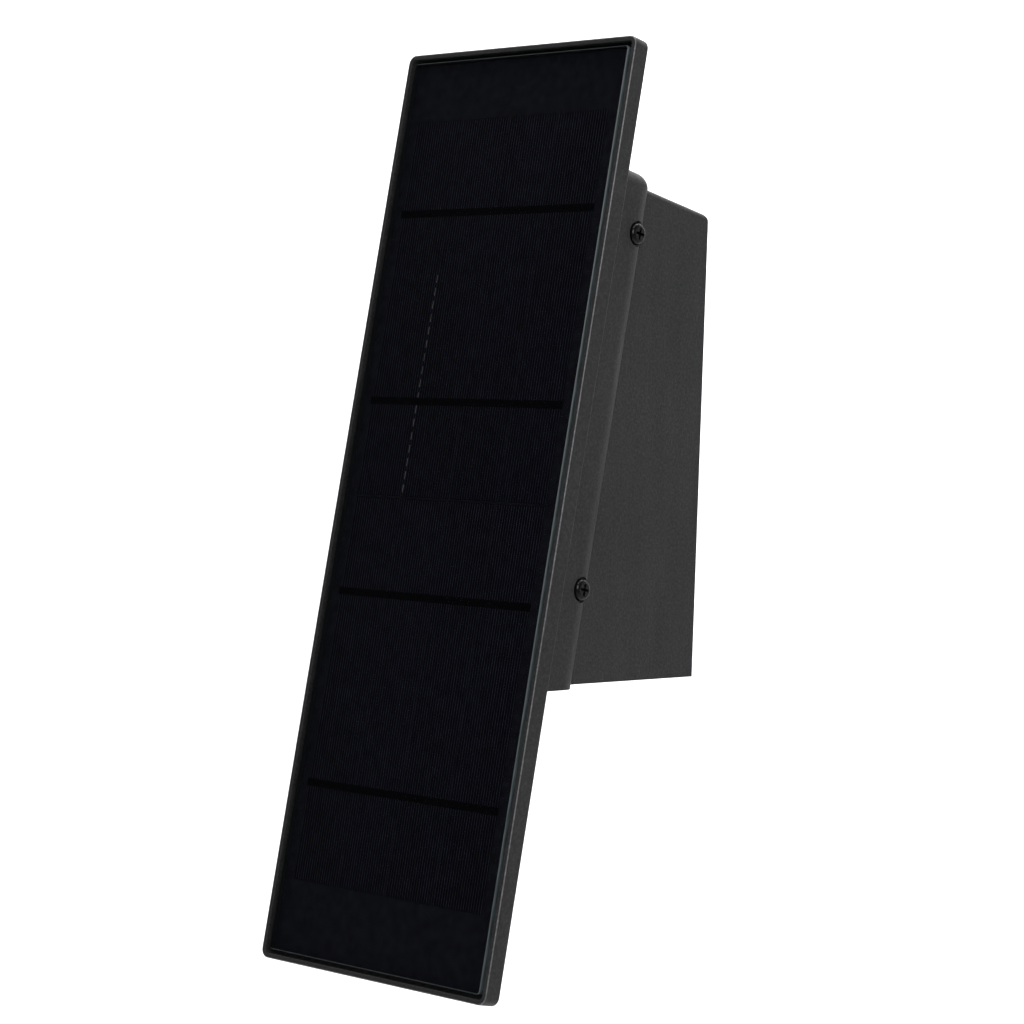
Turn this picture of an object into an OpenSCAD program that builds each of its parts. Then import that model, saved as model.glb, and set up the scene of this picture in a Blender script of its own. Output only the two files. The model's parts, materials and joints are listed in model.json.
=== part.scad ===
// Solar-powered wall camera.
// The wall is the plane y = 0 and the camera hangs in front of it, towards -Y, with +Z up.
// The origin is the centre of the four wall-screw holes, on the back face of the wall box.

/* [Solar panel] */
// Width of the panel frame
panel_w = 100; // [98:1:104]
// Length of the panel frame along its slope
panel_l = 305; // [303:1:310]
// Thickness of the panel frame
frame_t = 6.5; // [6.4:0.1:6.8]
// Lean of the panel back from upright, in degrees
lean = 10.5; // [10.2:0.1:10.8]
// Distance from the wall to the middle of the panel's front face
mid_depth = 74.5; // [74.2:0.1:75.5]
// Width of the frame's front rim
rim_w = 1.7; // [1.4:0.1:2]
// Gap between the rim and the glass
glass_gap = 1.4; // [1:0.1:1.6]
// Thickness of the cover glass
glass_t = 3.2; // [3:0.1:3.3]
// Length of one solar cell strip
cell_l = 127.2; // [122:0.1:128]
// Width of one solar cell strip
cell_w = 20.7; // [18:0.1:20.9]

/* [Case] */
// Width of the wall box
box_w = 88; // [87.6:0.1:88.4]
// Height of the wall box's back face
box_h = 150.8; // [150.4:0.2:151.4]
// How far the collar stands out from the wall box at each side
collar_step = 3; // [2.6:0.1:3.4]
// Depth of the collar's rear lip behind the panel's front face
collar_end = 22; // [21.6:0.1:22.4]
// Thickness of the wall box's side walls
wall_t = 2; // [1.8:0.1:2.2]

/* [Wall screws] */
// Distance between the wall-screw holes across the box
hole_span_x = 68; // [67:0.5:69]
// Distance between the wall-screw holes up the box
hole_span_z = 112; // [111:0.5:113]
// Diameter of the wall-screw holes
hole_d = 4.5; // [4:0.1:5]

/* [Hidden] */
$fn = 64;
fine = 128;
overlap = 0.01;

// Heights about the origin
box_z = box_h / 2;
mid_drop = box_h / 2 - 54.7;

// Panel stack, as depths behind the front face
glass_y = 0.3;
glass_w = panel_w - 2 * (rim_w + glass_gap);
glass_l = panel_l - 2 * (rim_w + glass_gap);
tape_t = 0.1;
cell_t = 0.2;
cells_y = glass_y + glass_t + tape_t;
sheet_y = cells_y + cell_t;
tray_y = sheet_y + 0.3;
cell_pitch = cell_w + 0.4;
row_pitch = cell_l + 0.6;
array_x = -0.9;
array_rise = 1.7;
tape_w = 3;
terminal_rise = 40;

// Case
box_top = 109.3;     // height of the box's roof above the panel's middle, along the slope
case_low = -100;     // below everything on the case, along the slope
flange_t = 2;
gasket_t = 1;
box_front = frame_t + flange_t + gasket_t;
slide_gap = 0.2;     // between parts that slide together on assembly
lip_t = 0.5;
collar_x = box_w / 2 + collar_step;
collar_rise = box_top + 3.6;
collar_low = -box_z - 1.2;
band_y = 16.5;       // where the collar's rounded rear edge begins
back_t = 2.5;
roof_t = 2.2;
floor_t = 4.5;
inner_x = box_w / 2 - wall_t;

// Screws: radius of the head, height of the head, radius of the shank, length of the shank
case_screw = [3.5, 2.3, 1.7, 9];
tray_screw = [2.4, 1.5, 1.2, 3.8];
small_screw = [1.9, 1.2, 0.9, 4.5];
base_screw = [2.4, 1.2, 1.15, 7];
strap_screw = [1.4, 1, 0.9, 4.5];
screw_gap = 0.05;
tray_screw_at = [[38.5, 99], [38.5, 25], [38.5, -42]];
case_screw_at = [[18.6, 93], [18.6, -21.7]];
base_screw_at = [[36.3, -9], [36.3, -58]];
head_seat = 1.6;

// Battery: two round cells side by side against the back wall
cell_r = 9.2;
battery_x = 9.8;
battery_y = 13.2;
battery_z = [-1, 64];
tray_x = 22.3;
strap_z = 31;
strap_screw_x = 22.4;
ear_x = 24.4;          // the tray's ears and the strap's feet reach out this far
strap_w = 12;

// Main board
board_y = 30;
board_t = 1.6;
board_face = -board_y - board_t;
board_post_at = [[25.5, 60], [25.5, -28]];

// Base plate in the floor, from its outer face upwards
plate_t = 2.2;
plate_x = 40;
plate_y = [-67, -5];
floor_z = -box_z;
plate_top = floor_z + plate_t;
seal_t = 0.8;
ledge_w = 2.5;
boss_h = 12;
boss_r = 3.6;

// Camera ball and its bearings
ball_r = 14;
ball_t = 2;
ball_at = [0, -34, floor_z + 11];
face_z = -10.3;
split_z = 3.5;
axle_r = 2;
axle_gap = 0.05;
axle_x = 17.9;
well_h = 7.4;
bracket_x = 22.5;
bracket_z = plate_top + 5.3;

// Control board, its switches and sockets, all over the base plate
control_z = floor_z + 6.4;
control_t = 1;
button_r = 2.6;
button_at = [[33, -17.5], [33, -28.5]];
mic_at = [33, -35];
light_at = [33, -41];
control_screw_at = [[33, -23], [33, -47]];
usb_at = [25, -55];
card_at = [25, -59];
flap_x = [17.6, 32.4];
flap_low = -60.9;    // front edge of the flap
flap_t = 1.4;
flap_axis = [-52.7, floor_z + 0.75];
flap_back = -51.3;   // rear edge of the flap's recess
motion_at = [-26, -55];
motion_screw_at = [[-17, -57], [-34.4, -50.5]];
speaker_at = [-27, -18];

// Point [y, z] on the side profile, from a depth behind the panel's face and a rise up its slope
function side_point(depth, rise) = [
    -mid_depth + depth * cos(lean) + rise * sin(lean),
    -mid_drop - depth * sin(lean) + rise * cos(lean)
];
// World y of the plane at a depth behind the panel's face, at height z
function plane_y(depth, z) = -mid_depth + depth / cos(lean) + (z + mid_drop) * tan(lean);
// Distance of the plane at a rise from the origin, square to itself
function roof_level(rise) = side_point(0, rise) * [sin(lean), cos(lean)];
// Points on an arc or part of an ellipse, from angle a0 to a1
function arc(c, rx, ry, a0, a1, n = 8) =
    [for (i = [0 : n]) let (a = a0 + (a1 - a0) * i / n) c + [rx * cos(a), ry * sin(a)]];

// Smooth path through chosen points, and the ring of points round it at step i
function spline(p0, p1, p2, p3, t) =
    0.5 * (2 * p1 + (p2 - p0) * t + (2 * p0 - 5 * p1 + 4 * p2 - p3) * t * t
        + (3 * p1 - p0 - 3 * p2 + p3) * t * t * t);
function smooth(p, steps) = concat(
    [for (i = [0 : len(p) - 2], k = [0 : steps - 1])
        spline(p[max(i - 1, 0)], p[i], p[i + 1], p[min(i + 2, len(p) - 1)], k / steps)],
    [p[len(p) - 1]]);
function unit(v) = v / norm(v);
function along(p, i) = unit(p[min(i + 1, len(p) - 1)] - p[max(i - 1, 0)]);
function ring(p, i, r, sides) =
    let (t = along(p, i), u = unit(cross(t, [0.31, 0.17, 0.93])), v = cross(t, u))
    [for (k = [0 : sides - 1]) p[i] + r * (cos(360 * k / sides) * u + sin(360 * k / sides) * v)];

// Round lead of diameter d along the points
module lead(points, d, sides = 8) {
    path = smooth(points, 4);
    n = len(path);
    rings = [for (i = [0 : n - 1]) each ring(path, i, d / 2, sides)];
    walls = [for (i = [0 : n - 2], k = [0 : sides - 1])
        let (a = i * sides + k, b = i * sides + (k + 1) % sides)
        each [[a, a + sides, b + sides], [a, b + sides, b]]];
    first_end = [[for (k = [0 : sides - 1]) k]];
    last_end = [[for (k = [0 : sides - 1]) n * sides - 1 - k]];
    polyhedron(rings, concat(walls, first_end, last_end), convexity = 4);
}

// Places parts on the leaning panel: x across, y behind its face, z up its slope
module on_panel() {
    translate([0, -mid_depth, -mid_drop]) rotate([-lean, 0, 0]) children();
}

// Extrudes an outline in the x-z plane from y0 to y1
module slab(y0, y1) {
    translate([0, y1, 0]) rotate([90, 0, 0]) linear_extrude(y1 - y0) children();
}

// Extrudes a side profile of [y, z] points across the box
module across(w) {
    rotate([90, 0, 90]) translate([0, 0, -w / 2]) linear_extrude(w) children();
}

module block(a, b) {
    translate(a) cube(b - a);
}

// Cylinder along X from x0 to x1
module x_rod(x0, x1, r) {
    translate([x0, 0, 0]) rotate([0, 90, 0]) cylinder(h = x1 - x0, r = r);
}

// Cylinder along Y from y0 to y1
module y_rod(y0, y1, r) {
    translate([0, y0, 0]) rotate([-90, 0, 0]) cylinder(h = y1 - y0, r = r);
}

// Upright cylinder from z0 to z1
module post(at, z0, z1, r) {
    translate([at[0], at[1], z0]) cylinder(h = z1 - z0, r = r);
}

// Children at each [x, y] place and at its mirror image across x = 0
module both_sides(places) {
    for (s = [-1, 1], p = places) translate([s * p[0], p[1], 0]) children();
}

module round_rect(w, l, r) {
    square([w - 2 * r, l], center = true);
    square([w, l - 2 * r], center = true);
    for (x = [-1, 1], z = [-1, 1]) translate([x * (w / 2 - r), z * (l / 2 - r)]) circle(r);
}

// Outline from low up to high, with its two upper corners rounded
module arch(half_w, low, high, r) {
    translate([-half_w, low]) square([2 * half_w, high - r - low]);
    translate([-half_w + r, low]) square([2 * (half_w - r), high - low]);
    for (x = [-1, 1]) translate([x * (half_w - r), high - r]) circle(r);
}

// Everything above a height
module above(z) {
    block([-100, -150, z], [100, 50, 200]);
}

// Pan-head screw along +Z, its head above z = 0 and its shank below, with a cross recess
module pan_screw(s) {
    head_r = s[0];
    head_h = s[1];
    difference() {
        rotate_extrude() polygon(concat(
            [[0, -s[3]], [s[2] * 0.6, -s[3]], [s[2], -s[3] + s[2] * 0.5], [s[2], 0], [head_r, 0]],
            arc([head_r * 0.6, head_h * 0.35], head_r * 0.4, head_h * 0.65, 0, 90),
            [[0, head_h]]));
        arm = head_r * [0.55, 0.12];
        for (a = [0, 90]) rotate(a) block([-arm[0], -arm[1], head_h * 0.3], [arm[0], arm[1], head_h * 1.3]);
    }
}

// Cylinders across the case at each side screw, from x0 to x1 on both sides
module case_screw_bores(r, x0, x1) {
    on_panel() for (side = [0, 1], p = case_screw_at)
        mirror([side, 0, 0]) translate([0, p[0], p[1]]) x_rod(x0, x1, r);
}

// Cylinders at each screw between the collar and the tray, from depth y0 to y1
module tray_screw_bores(r, y0, y1) {
    for (s = [-1, 1], p = tray_screw_at) translate([s * p[0], 0, p[1]]) y_rod(y0, y1, r);
}

// Shallow tray that frames the glass
module panel_frame() color("dimgray") on_panel() difference() {
    slab(0, frame_t) round_rect(panel_w, panel_l, 3);
    slab(-1, tray_y) round_rect(panel_w - 2 * rim_w, panel_l - 2 * rim_w, 1.6);
    translate([0, 0, terminal_rise]) slab(tray_y - 1, frame_t + 1) circle(3);
    tray_screw_bores(tray_screw[2] + screw_gap, tray_y + 0.4, frame_t + 1);
}

module cover_glass() color([0.03, 0.04, 0.05]) on_panel()
    slab(glass_y, glass_y + glass_t) round_rect(glass_w, glass_l, 1);

module solar_cells() color([0.02, 0.02, 0.05]) on_panel()
    for (i = [-1.5 : 1.5], k = [-0.5, 0.5])
        translate([array_x + i * cell_pitch, 0, array_rise + k * row_pitch])
            slab(cells_y, cells_y + cell_t) square([cell_w, cell_l], center = true);

// Black tapes over the ribbons that join the strips, two across each row
module busbar_tapes() color("black") on_panel()
    for (k = [-0.5, 0.5], b = [-1, 1])
        translate([array_x, 0, array_rise + k * row_pitch + b * cell_l / 4])
            slab(cells_y - tape_t, cells_y) square([4 * cell_pitch + 0.6, tape_w], center = true);

module cell_backsheet() color([0.05, 0.05, 0.06]) on_panel()
    slab(sheet_y, tray_y) difference() {
        square([glass_w - 6.6, glass_l - 6.6], center = true);
        translate([0, terminal_rise]) circle(2.6);
    }

// Adhesive bead that holds the glass down in the tray
module glazing_bead() color([0.1, 0.1, 0.1]) on_panel()
    slab(glass_y + glass_t, tray_y) difference() {
        square([glass_w - 1, glass_l - 1], center = true);
        square([glass_w - 6, glass_l - 6], center = true);
    }

// The collar's half width or height at each depth, rounded over at its rear edge
function band_edge(high, low) = arc([low, band_y], high - low, collar_end - band_y, 0, 90);

// Outer shape of the collar: front view, plan view and side view combined
module collar_body() {
    lip_x = box_w / 2 + slide_gap + lip_t;
    lip_rise = box_top + slide_gap + lip_t;
    low_r = 1.1;
    edge = band_edge(collar_x, lip_x);
    low_c = [plane_y(collar_end - low_r / cos(lean), collar_low + low_r), collar_low + low_r];
    intersection() {
        on_panel() slab(frame_t, collar_end) arch(collar_x, case_low, collar_rise, 5);
        on_panel() translate([0, 0, case_low]) linear_extrude(collar_rise - case_low) polygon(concat(
            [[-collar_x, frame_t], [collar_x, frame_t]],
            edge,
            [for (i = [len(edge) - 1 : -1 : 0]) [-edge[i][0], edge[i][1]]]));
        across(2 * collar_x) polygon(concat(
            [[plane_y(frame_t, collar_low), collar_low], side_point(frame_t, collar_rise)],
            [for (p = band_edge(collar_rise, lip_rise)) side_point(p[1], p[0])],
            arc(low_c, low_r, low_r, -lean, -90)));
    }
}

// Skirt behind the panel that slips over the wall box
module front_collar() color("dimgray") difference() {
    collar_body();
    intersection() {
        on_panel() slab(frame_t + flange_t, collar_end + 1)
            arch(box_w / 2 + slide_gap, case_low, box_top + slide_gap, 2);
        above(floor_z - slide_gap);
    }
    // window in the flange
    intersection() {
        on_panel() slab(frame_t - 1, frame_t + flange_t + 1) arch(box_w / 2 - 9, case_low, box_top - 8, 2);
        above(floor_z + 12);
    }
    case_screw_bores(case_screw[2] + 0.2, box_w / 2 - 1, collar_x + 1);
    case_screw_bores(4.1, box_w / 2 + head_seat, collar_x + 2);
    on_panel() tray_screw_bores(tray_screw[2] + 0.2, frame_t - 1, frame_t + flange_t + 1);
}

module collar_screws() color("silver") on_panel()
    for (s = [-1, 1], p = tray_screw_at)
        translate([s * p[0], frame_t + flange_t, p[1]]) rotate([-90, 0, 0]) pan_screw(tray_screw);

// Seal between the collar's flange and the front edge of the wall box
module case_gasket() color([0.08, 0.08, 0.08]) difference() {
    intersection() {
        on_panel() slab(frame_t + flange_t, box_front) arch(box_w / 2, case_low, box_top, 2);
        above(floor_z);
    }
    intersection() {
        on_panel() slab(frame_t, box_front + 1) arch(inner_x, case_low, box_top - roof_t, 1);
        above(floor_z + floor_t);
    }
}

// Cap over the joint of the solar lead, on the back of the tray
module solar_terminal() color([0.06, 0.06, 0.06]) on_panel() difference() {
    translate([0, 0, terminal_rise]) slab(frame_t, frame_t + 6) round_rect(18, 14, 2);
    translate([0, frame_t - 1, terminal_rise]) rotate([-90, 0, 0]) cylinder(h = 5.5, r = 5);
    translate([0, frame_t + 3, terminal_rise - 9]) cylinder(h = 8, r = 1.4);
}

module solar_lead() color("firebrick") lead([
    [0, -58.6, 13], [0, -59.7, 7], [-3, -57, 1], [-8, -50, -4], [-12, -43, -2],
    [-14, -39, 2.4], [-14, -34.4, 3]
], 2);

// Side profile of the wall box, taken in from its outer faces
module box_profile(back, top, bottom, front, r) {
    y_c = -back - r;
    z_c = (roof_level(box_top - top) - r - y_c * sin(lean)) / cos(lean);
    z0 = floor_z + bottom;
    polygon(concat(
        [[-back, z0]],
        arc([y_c, z_c], r, r, 0, 90 - lean),
        [side_point(front, box_top - top), [plane_y(front, z0), z0]]));
}

// Room inside the wall box, with its screw bosses left standing
module box_room() {
    difference() {
        across(2 * inner_x) box_profile(back_t, roof_t, floor_t, box_front - 2, 1.5);
        case_screw_bores(4.2, inner_x - 7.5, box_w / 2);
        both_sides(base_screw_at) post([0, 0], floor_z, floor_z + boss_h, boss_r);
    }
}

// Wedge-shaped box that screws to the wall
module wall_box() color("dimgray") difference() {
    union() {
        difference() {
            intersection() {
                across(box_w) box_profile(0, 0, 0, box_front, 3);
                on_panel() slab(0, 90) arch(box_w / 2, case_low, box_top, 2);
            }
            box_room();
        }
        for (s = [-1, 1], p = board_post_at) translate([s * p[0], 0, p[1]]) y_rod(-board_y, -1, 2.75);
    }
    // rebate for the base plate and its seal, then the way through the floor
    block([-plate_x, plate_y[0], floor_z - 1], [plate_x, plate_y[1], plate_top + seal_t]);
    difference() {
        block([-plate_x + ledge_w, plate_y[0] + ledge_w, floor_z],
              [plate_x - ledge_w, plate_y[1] - ledge_w, floor_z + floor_t + 1]);
        both_sides(base_screw_at) post([0, 0], floor_z, floor_z + boss_h, boss_r);
    }
    both_sides(base_screw_at) post([0, 0], floor_z, floor_z + boss_h - 2, base_screw[2] + screw_gap);
    // wall screws
    for (x = [-0.5, 0.5], z = [-0.5, 0.5])
        translate([x * hole_span_x, 0, z * hole_span_z]) y_rod(-back_t - 1, 1, hole_d / 2);
    // side screws and their inserts
    case_screw_bores(case_screw[2] + 0.2, box_w / 2 - 3, box_w / 2 + 1);
    case_screw_bores(2.6, inner_x - 6.5, inner_x);
    for (s = [-1, 1], p = board_post_at)
        translate([s * p[0], 0, p[1]]) y_rod(-board_y - 1, -board_y + 8, small_screw[2] + screw_gap);
}

module case_screws() color([0.05, 0.05, 0.05]) on_panel()
    for (s = [-1, 1], p = case_screw_at)
        translate([s * (box_w / 2 + head_seat), p[0], p[1]]) rotate([0, s * 90, 0]) pan_screw(case_screw);

module threaded_inserts() color("goldenrod") on_panel()
    for (s = [-1, 1], p = case_screw_at)
        translate([s * (inner_x - 3.2), p[0], p[1]]) rotate([0, 90, 0]) difference() {
            cylinder(h = 6, r = 2.6 - screw_gap, center = true);
            cylinder(h = 7, r = case_screw[2] + screw_gap, center = true);
        }

module battery_tray() color([0.12, 0.12, 0.13]) difference() {
    union() {
        block([-tray_x, -battery_y, battery_z[0] - 2.5], [tray_x, -back_t, battery_z[1] + 2.5]);
        block([-ear_x, -battery_y, strap_z - strap_w / 2], [ear_x, -back_t, strap_z + strap_w / 2]);
    }
    for (x = [-1, 1]) post([x * battery_x, -battery_y], battery_z[0] - 0.3, battery_z[1] + 0.3, cell_r + 0.3);
    for (x = [-1, 1])
        translate([x * strap_screw_x, 0, strap_z])
            y_rod(-battery_y - 1, -battery_y + 6, small_screw[2] + screw_gap);
}

module battery_cells() color("royalblue")
    for (x = [-1, 1]) {
        post([x * battery_x, -battery_y], battery_z[0], battery_z[1] - 1.2, cell_r);
        post([x * battery_x, -battery_y], battery_z[0] + 1, battery_z[1], 3);
    }

// Band across both cells, screwed to the tray's edges
module battery_strap() color([0.12, 0.12, 0.13]) difference() {
    translate([0, -battery_y, strap_z - strap_w / 2]) linear_extrude(strap_w) difference() {
        union() {
            for (x = [-1, 1]) translate([x * battery_x, 0]) circle(cell_r + 1.4);
            translate([-battery_x, -cell_r - 1.4]) square([2 * battery_x, cell_r + 1.4]);
            translate([-ear_x, -1.2]) square([2 * ear_x, 1.2]);
        }
        for (x = [-1, 1]) translate([x * battery_x, 0]) circle(cell_r + 0.2);
        translate([-battery_x, -cell_r - 0.2]) square([2 * battery_x, cell_r + 0.2]);
        translate([-30, 0]) square([60, 20]);
    }
    for (x = [-1, 1])
        translate([x * strap_screw_x, 0, strap_z]) y_rod(-battery_y - 3, -battery_y + 1, 1);
}

module strap_screws() color("silver")
    for (x = [-1, 1])
        translate([x * strap_screw_x, -battery_y - 1.2, strap_z]) rotate([90, 0, 0]) pan_screw(strap_screw);

module battery_lead() color("firebrick") lead([
    [0, -20.8, 58], [0, -22, 65], [6, -25, 69], [15, -29, 70.5], [21, -35, 68.5], [23, -40, 62],
    [22.6, -41.5, 55], [22.2, -39.6, 50.9], [22, -34.4, 50]
], 1.8);

module main_board() color("darkgreen") difference() {
    block([-29, board_face, -32], [29, -board_y, 66]);
    for (s = [-1, 1], p = board_post_at)
        translate([s * p[0], 0, p[1]]) y_rod(board_face - 1, 1 - board_y, 1.1);
}

// Small screws that hold the main board, the control board and the motion board
module board_screws() color("silver") {
    for (s = [-1, 1], p = board_post_at)
        translate([s * p[0], board_face, p[1]]) rotate([90, 0, 0]) pan_screw(small_screw);
    for (p = concat(control_screw_at, motion_screw_at))
        translate([p[0], p[1], control_z + control_t]) pan_screw([1.7, 1.2, 0.9, 4]);
}

module processor_shield() color("silver")
    block([-12, board_face - 3, 18], [12, board_face, 44]);

// Chips as [x, z, width, height] and two coils on the main board, and the status light
module board_chips() color([0.08, 0.08, 0.08]) {
    for (c = [[-22, 34, 8, 10], [19, 34, 9, 9], [-20, 12, 7, 7], [17, 14, 6, 9], [-19, -12, 10, 8]])
        translate([c[0], 0, c[1]]) slab(board_face - 1.2, board_face) square([c[2], c[3]], center = true);
    for (x = [-2, 9]) translate([x, 0, -4]) y_rod(board_face - 3, board_face, 3.6);
    translate([light_at[0], light_at[1], control_z - 0.8])
        linear_extrude(0.8) square([2, 1.6], center = true);
}

// Sockets for the solar, battery, camera, speaker and control leads
module board_sockets() color("ivory")
    for (c = [[-14, 3], [22, 50], [-6, -25], [-17, -25], [17, -25]]) difference() {
        block([c[0] - 3.5, board_face - 5.5, c[1] - 3], [c[0] + 3.5, board_face, c[1] + 3]);
        block([c[0] - 2.6, board_face - 6, c[1] - 2], [c[0] + 2.6, board_face - 2, c[1] + 2]);
    }

module wifi_antenna() color([0.25, 0.16, 0.05])
    block([-inner_x, -48, 10], [-inner_x + 0.4, -30, 50]);

module antenna_lead() color([0.1, 0.1, 0.1]) lead([
    [-41, -39, 9.2], [-40.6, -39, 4], [-36, -37, 1.5], [-31, -35, 8], [-26.5, -34, 17], [-23.5, -32.8, 22]
], 1.2);

// Cover in the floor of the wall box, with the flared well for the camera ball
module base_plate() color([0.1, 0.1, 0.11]) difference() {
    union() {
        block([-plate_x + slide_gap, plate_y[0] + slide_gap, floor_z],
              [plate_x - slide_gap, plate_y[1] - slide_gap, plate_top]);
        translate([ball_at[0], ball_at[1], floor_z]) cylinder(h = well_h, r1 = 22, r2 = 16, $fn = fine);
        both_sides([[bracket_x, ball_at[1]]]) post([0, 0], plate_top - 1, bracket_z, 3);
        for (p = concat(control_screw_at, motion_screw_at)) post(p, plate_top - 1, control_z, 1.8);
        post(speaker_at, plate_top - 1, plate_top + 3, 9.1);
        block([flap_x[0] - 1.4, flap_low - 1.2, floor_z], [flap_x[1] + 1.4, flap_back + 1.2, plate_top + 1]);
    }
    translate([ball_at[0], ball_at[1], floor_z - overlap])
        cylinder(h = well_h + 2 * overlap, r1 = 20, r2 = ball_r + 0.4, $fn = fine);
    pilot_r = small_screw[2] + screw_gap;
    both_sides([[bracket_x, ball_at[1]]]) post([0, 0], plate_top, bracket_z + 1, pilot_r);
    for (p = concat(control_screw_at, motion_screw_at)) post(p, plate_top, control_z + 1, pilot_r);
    both_sides(base_screw_at) {
        post([0, 0], floor_z - 1, plate_top + 1, 1.4);
        post([0, 0], floor_z - 1, floor_z + 1.3, 2.7);
        post([0, 0], plate_top, plate_top + 2, boss_r + slide_gap);
    }
    post(motion_at, floor_z - 1, plate_top + 1, 6.2);
    post(speaker_at, plate_top, plate_top + 4, 8.6);
    for (i = [-2 : 2], j = [-2 : 2]) if (i * i + j * j < 6)
        post(speaker_at + 2.8 * [i, j], floor_z - 1, plate_top + 1, 0.8, $fn = 24);
    post(mic_at, floor_z - 1, plate_top + 1, 0.6, $fn = 24);
    post(light_at, floor_z - 1, plate_top + 1, 1.35);
    for (p = button_at) post(p, floor_z - 1, plate_top + 1, button_r + 0.2);
    // recess for the flap and the bearings of its pin, then the ways through to the two sockets
    block([flap_x[0] - 0.3, flap_low - 0.3, floor_z - 1], [flap_x[1] + 0.3, flap_back, floor_z + 1.7]);
    translate([0, flap_axis[0], flap_axis[1]]) x_rod(flap_x[0] - 1.3, flap_x[1] + 1.3, 0.45);
    block([usb_at[0] - 4.9, usb_at[1] - 2, floor_z], [usb_at[0] + 4.9, usb_at[1] + 2, plate_top + 2]);
    block([card_at[0] - 6.9, card_at[1] - 1.2, floor_z], [card_at[0] + 6.9, card_at[1] + 1.2, plate_top + 2]);
}

// Seal between the base plate and its rebate
module base_gasket() color([0.08, 0.08, 0.08])
    translate([0, (plate_y[0] + plate_y[1]) / 2, plate_top]) linear_extrude(seal_t) difference() {
        square([2 * plate_x - 1.2, plate_y[1] - plate_y[0] - 1.2], center = true);
        square([2 * (plate_x - ledge_w) + 0.2, plate_y[1] - plate_y[0] - 2 * ledge_w + 0.2], center = true);
        both_sides([for (p = base_screw_at) p - [0, (plate_y[0] + plate_y[1]) / 2]]) circle(1.6);
    }

module base_screws() color([0.05, 0.05, 0.05])
    both_sides(base_screw_at) translate([0, 0, floor_z + 1.3]) rotate([180, 0, 0]) pan_screw(base_screw);

// One bracket at each end of the ball's axle
module axle_brackets() color([0.12, 0.12, 0.13])
    for (s = [-1, 1]) translate([0, ball_at[1], 0]) difference() {
        union() {
            block([min(s * 15, s * 26), -4.4, bracket_z], [max(s * 15, s * 26), 4.4, bracket_z + 1.6]);
            translate([s * 16.5, 0, ball_at[2]]) x_rod(-1.5, 1.5, 4.4);
            block([min(s * 15, s * 18), -4.4, bracket_z], [max(s * 15, s * 18), 4.4, ball_at[2]]);
        }
        translate([s * 16.5, 0, ball_at[2]]) x_rod(-2, 2, axle_r + axle_gap);
        block([-30, -6, floor_z], [30, 6, bracket_z]);
        translate([s * bracket_x, 0, bracket_z - 1]) cylinder(h = 4, r = 1.1);
    }

module bracket_screws() color("silver")
    both_sides([[bracket_x, ball_at[1]]]) translate([0, 0, bracket_z + 1.6]) pan_screw(small_screw);

// Front part of the camera ball, with the axle stubs
module turret_shell() color([0.07, 0.07, 0.08]) translate(ball_at) difference() {
    union() {
        sphere(ball_r, $fn = fine);
        x_rod(-axle_x, axle_x, axle_r);
    }
    sphere(ball_r - ball_t, $fn = fine);
    block([-20, -20, split_z], [20, 20, 20]);
    block([-20, -20, -20], [20, 20, face_z]);
    post([0, 0], face_z - 1, face_z + 1.2, 8.45);
}

// Rear dome of the camera ball, slotted so that the lead can move
module turret_cap() color([0.07, 0.07, 0.08]) translate(ball_at) difference() {
    sphere(ball_r, $fn = fine);
    sphere(ball_r - ball_t, $fn = fine);
    block([-20, -20, -20], [20, 20, split_z]);
    block([-2.2, -9.5, split_z + 1], [2.2, 9.5, 20]);
}

module turret_window() color([0.05, 0.05, 0.06]) translate(ball_at) post([0, 0], face_z, face_z + 1.2, 8.4);

module lens_barrel() color([0.05, 0.05, 0.05]) translate(ball_at) difference() {
    union() {
        post([0, 0], -8.6, 2, 4.4);
        post([0, 0], 0.8, 2, 6.5);
    }
    post([0, 0], -9, 2.5, 3.3);
    post([0, 0], -0.6, 2.5, 4);
}

// Lens whose front bulges towards -Z
module plano_lens(r, z0, bulge, t) {
    face = z0 + bulge;
    rotate_extrude() polygon(concat([[0, face + t], [r, face + t]], arc([0, face], r, -bulge, 0, 90)));
}

module front_lens() color([0.2, 0.25, 0.35]) translate(ball_at) plano_lens(3.25, -8.5, 0.9, 1.2);

module rear_lens() color([0.2, 0.25, 0.35]) translate(ball_at) plano_lens(3.25, -3.6, 0.6, 1);

module infrared_board() color("black") translate(ball_at) difference() {
    post([0, 0], -7.4, -6.4, 9);
    post([0, 0], -8, -6, 4.6);
}

module infrared_lights() color([0.15, 0.1, 0.12]) translate(ball_at)
    for (k = [0 : 7]) rotate(45 * k) post([6.3, 0], -9, -7.4, 1.2, $fn = 32);

module sensor_board() color("darkgreen") translate(ball_at) {
    block([-7.5, -7.5, 2], [7.5, 7.5, 3]);
    block([-3, -2, 3], [3, 2, 4.4]);
}

module image_sensor() color([0.1, 0.12, 0.2]) translate(ball_at) block([-2.8, -2.2, 1.1], [2.8, 2.2, 2]);

module camera_lead() color([0.1, 0.1, 0.1]) lead([
    [0, -34, -58.6], [0, -34, -51], [-0.5, -37, -42], [-3, -42, -34],
    [-5.5, -43.5, -27.5], [-6, -40.5, -25.3],
    [-6, -34.4, -25]
], 1.6);

// Domed lens of the motion sensor
module motion_lens() color("white") translate([motion_at[0], motion_at[1], 0]) difference() {
    union() {
        translate([0, 0, floor_z + 1.6]) sphere(6);
        post([0, 0], floor_z + 1.6, plate_top + 0.9, 6);
        post([0, 0], plate_top, plate_top + 0.9, 6.9);
    }
    translate([0, 0, floor_z + 1.6]) sphere(5.2);
    post([0, 0], floor_z + 1.6, floor_z + 12, 5.2);
}

module motion_sensor() color("silver") {
    post(motion_at, floor_z + 3.4, control_z, 4.1);
    post(motion_at, control_z - 0.6, control_z, 4.6);
}

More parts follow.
